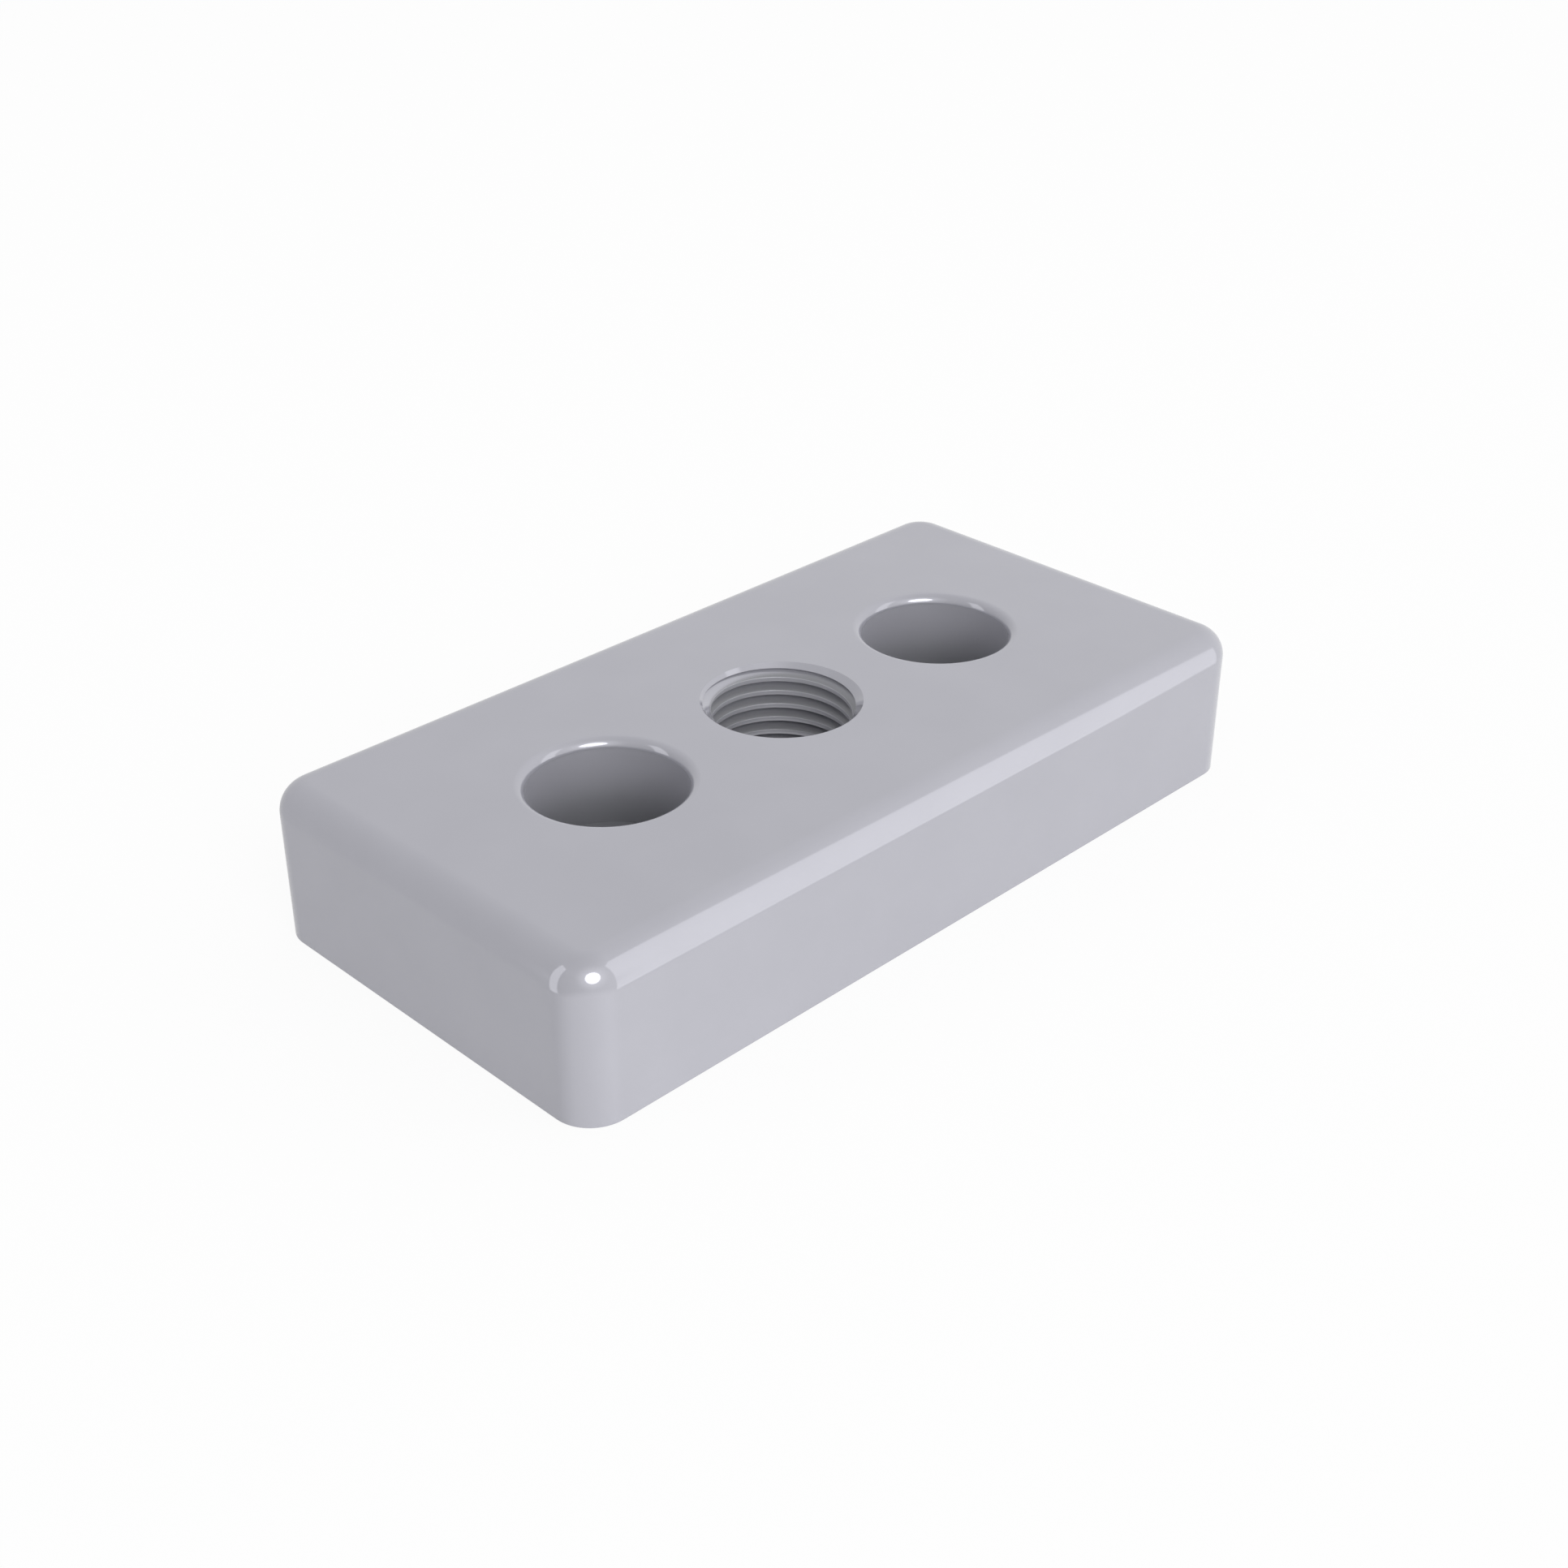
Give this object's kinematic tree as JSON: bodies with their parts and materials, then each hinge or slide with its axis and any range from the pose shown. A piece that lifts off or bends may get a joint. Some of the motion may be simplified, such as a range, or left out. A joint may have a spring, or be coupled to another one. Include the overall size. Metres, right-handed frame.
{
  "type": "base plate",
  "caption": "Thick rectangular end plate with rounded edges, counterbored screw holes and a central tapped hole, for fixing a levelling foot or castor to the end of an aluminium profile.",
  "frame": {"origin": "middle of the flat face that meets the profile, on the axis of the tapped hole", "axes": "+X along the plate's length, through both screw holes; +Z away from the profile, out of the mouth of the tapped hole; +Y across the width"},
  "size_m": [0.09, 0.045, 0.016],
  "materials": {
    "coated_casting": "smooth satin light grey coating on a zinc die casting"
  },
  "bodies": {
    "root": {"base_plate": "coated_casting"}
  },
  "joints": []
}
